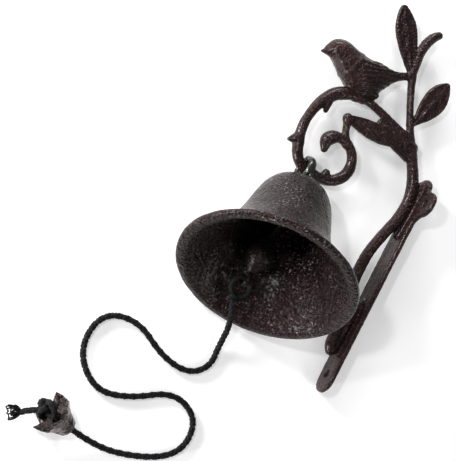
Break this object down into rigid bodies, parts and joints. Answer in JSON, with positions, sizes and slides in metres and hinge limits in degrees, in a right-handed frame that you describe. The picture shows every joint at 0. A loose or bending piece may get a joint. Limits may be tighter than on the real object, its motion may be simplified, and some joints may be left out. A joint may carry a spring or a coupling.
{
  "type": "wall mounted bell",
  "caption": "Cast-iron wall bell: branch bracket with a perched bird and leaves, a flared bell on a ring, a clapper and a braided pull cord with a small blossom weight.",
  "frame": {"origin": "under the middle of the object's bounding box without its cord, on the plane the set lies on", "axes": "+X towards the wall, out of the back face of the wall plate; +Y along the wall plate towards the leaves, which is up in use; +Z out of the surface the set lies on. To hang it, turn the row so that +Y is up."},
  "size_m": [0.1572, 0.314, 0.0906],
  "materials": {
    "bracket_iron": "glossy brown-black lacquer over a pebbled casting",
    "bell_iron": "glossy brown-black lacquer over a pebbled casting",
    "clapper_iron": "lacquered casting",
    "weight_iron": "lacquered casting",
    "black_steel": "glossy black enamel",
    "cord": "matte braided cord"
  },
  "bodies": {
    "bracket": {"wall_plate": "bracket_iron", "trunk": "bracket_iron", "twig": "bracket_iron", "arch": "bracket_iron", "scroll": "bracket_iron", "leaf_curled": "bracket_iron", "leaf_top": "bracket_iron", "leaf_small": "bracket_iron", "leaf_side": "bracket_iron", "bird": "bracket_iron"},
    "ring": {"hanging_ring": "black_steel"},
    "bell": {"bell": "bell_iron", "clapper_staple": "black_steel"},
    "link": {"clapper_link": "black_steel"},
    "clapper": {"clapper": "clapper_iron"},
    "cord": {"cord": "cord", "cord_lower": "cord", "cord_knot_top": "cord", "cord_knot_end": "cord", "cord_tail": "cord"},
    "weight": {"cord_weight": "weight_iron"}
  },
  "joints": [
    {"name": "ring_swing", "type": "hinge", "parent": "bracket", "child": "ring", "pos_m": [-0.0086, -0.0059, 0.008], "axis": [1, 0, 0], "range_deg": [-25, 85], "deforming": ["cord", "cord_lower"]},
    {"name": "bell_tilt", "type": "hinge", "parent": "ring", "child": "bell", "pos_m": [-0.0086, -0.01327, 0.01316], "axis": [0, 0.4446, 0.8957], "range_deg": [-20, 8], "deforming": ["cord", "cord_lower"]},
    {"name": "clapper_turn", "type": "hinge", "parent": "bell", "child": "link", "pos_m": [-0.01024, -0.03149, 0.0222], "axis": [0.0802, 0.8928, -0.4432], "range_deg": [-30, 30], "deforming": ["cord", "cord_lower"]},
    {"name": "clapper_swing", "type": "hinge", "parent": "link", "child": "clapper", "pos_m": [-0.01062, -0.03577, 0.02433], "axis": [0.9968, -0.0718, 0.0357], "range_deg": [-62, 1], "deforming": ["cord", "cord_lower"]},
    {"name": "cord_swing", "type": "hinge", "parent": "clapper", "child": "cord", "pos_m": [-0.01361, -0.07945, 0.01998], "axis": [0.9968, -0.0718, 0.0357], "range_deg": [-30, 2], "deforming": ["cord", "cord_lower"]},
    {"name": "weight_turn", "type": "hinge", "parent": "cord", "child": "weight", "pos_m": [-0.0723, -0.1919, 0.011], "axis": [0.9479, -0.1655, -0.2723], "continuous": true, "deforming": ["cord", "cord_lower"]}
  ]
}
